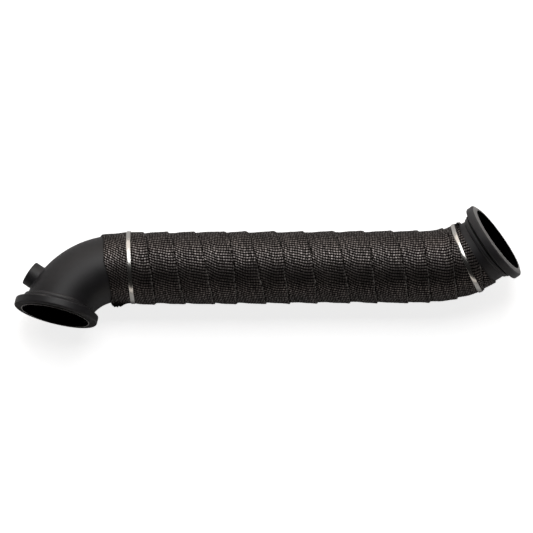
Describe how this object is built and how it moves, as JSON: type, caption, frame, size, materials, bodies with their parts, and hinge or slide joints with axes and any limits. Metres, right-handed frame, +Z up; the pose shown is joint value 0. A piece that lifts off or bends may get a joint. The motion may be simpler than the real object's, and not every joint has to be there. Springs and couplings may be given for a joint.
{
  "type": "turbo downpipe",
  "caption": "Bent steel exhaust pipe with clamp flanges at both ends, a sensor boss and woven heat wrap held by steel ties.",
  "frame": {"origin": "centre of the inlet mouth, in the plane of the front of its centring lip", "axes": "+X along the straight run towards the outlet, +Z up as the pipe lies at rest; the inlet mouth looks towards -Y"},
  "size_m": [0.5805, 0.135, 0.1049],
  "materials": {
    "black_coat": "satin high-temperature coat",
    "flange_coat": "satin high-temperature coat",
    "weld": "coated weld bead",
    "wrap": "woven mineral fibre tape",
    "tie_steel": "bright stainless"
  },
  "bodies": {
    "root": {"inlet_elbow": "black_coat", "straight_tube": "black_coat", "outlet_elbow": "black_coat", "inlet_flange": "flange_coat", "outlet_flange": "flange_coat", "inlet_weld": "weld", "outlet_weld": "weld", "sensor_boss": "black_coat", "boss_weld": "weld", "heat_wrap": "wrap", "inlet_tie_band": "tie_steel", "inlet_tie_lock": "tie_steel", "inlet_tie_ball": "tie_steel", "outlet_tie_band": "tie_steel", "outlet_tie_lock": "tie_steel", "outlet_tie_ball": "tie_steel"}
  },
  "joints": []
}
